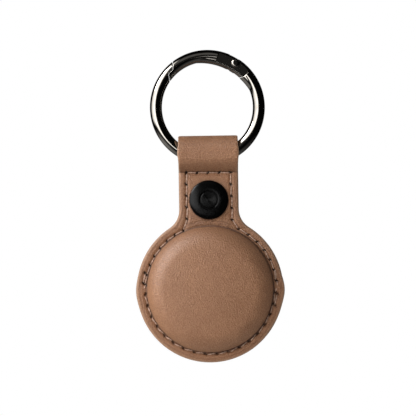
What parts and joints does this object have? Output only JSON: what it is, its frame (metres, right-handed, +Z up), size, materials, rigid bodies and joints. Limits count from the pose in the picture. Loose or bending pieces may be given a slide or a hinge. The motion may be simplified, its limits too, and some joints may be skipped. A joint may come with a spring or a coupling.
{
  "type": "tracker tag holder",
  "caption": "Moulded leather pocket for a round tracker tag, with a snap-closed back flap, a strap loop and a round metal spring-gate ring.",
  "frame": {"origin": "centre of the metal ring, in the plane of its wire", "axes": "+Z up along the hanging holder towards the ring, +X to the right seen from the front, +Y to the back; the domed front faces -Y"},
  "size_m": [0.0406, 0.0135, 0.0868],
  "materials": {
    "ring_metal": "polished black nickel",
    "rivet_metal": "polished black nickel",
    "bright_steel": "bright steel",
    "front_leather": "smooth tan leather, fine grain, light sheen",
    "back_leather": "smooth tan leather, fine grain",
    "raw_leather": "flesh side, matt",
    "thread": "waxed thread",
    "black_metal": "satin black lacquer",
    "snap_metal": "satin gunmetal"
  },
  "bodies": {
    "ring": {"ring_body": "ring_metal"},
    "gate": {"ring_gate": "ring_metal", "gate_rivet": "rivet_metal", "gate_spring": "bright_steel"},
    "plunger": {"gate_plunger": "bright_steel"},
    "holder": {"front_panel": "front_leather", "backing_ring": "raw_leather", "back_panel": "back_leather", "upper_stitching": "thread", "lower_stitching": "thread", "snap_cap": "black_metal", "cap_post": "snap_metal", "snap_socket": "snap_metal", "socket_spring": "bright_steel"},
    "flap": {"back_flap": "back_leather", "snap_stud": "snap_metal", "stud_post": "black_metal"}
  },
  "joints": [
    {"name": "gate_hinge", "type": "hinge", "parent": "ring", "child": "gate", "pos_m": [0.00802, 0, 0.01208], "axis": [0, -1, 0], "range_deg": [0, 30], "stiffness_Nm_per_rad": 0.05, "springref_deg": -22.92},
    {"name": "plunger_slide", "type": "slide", "parent": "gate", "child": "plunger", "axis": [-0.9563, 0, 0.2924], "range_m": [0, 0.00046], "deforming": ["gate_spring"]},
    {"name": "holder_swing", "type": "hinge", "parent": "ring", "child": "holder", "pos_m": [0, 0, -0.0128], "axis": [1, 0, 0], "range_deg": [-40, 40]},
    {"name": "flap_hinge", "type": "hinge", "parent": "holder", "child": "flap", "pos_m": [0, 0.00275, -0.0505], "axis": [-1, 0, 0], "range_deg": [0, 150], "deforming": ["socket_spring"]}
  ],
  "couplings": [
    {"joint": "plunger_slide", "follows": "gate_hinge", "m_per_rad": 0.000846}
  ]
}
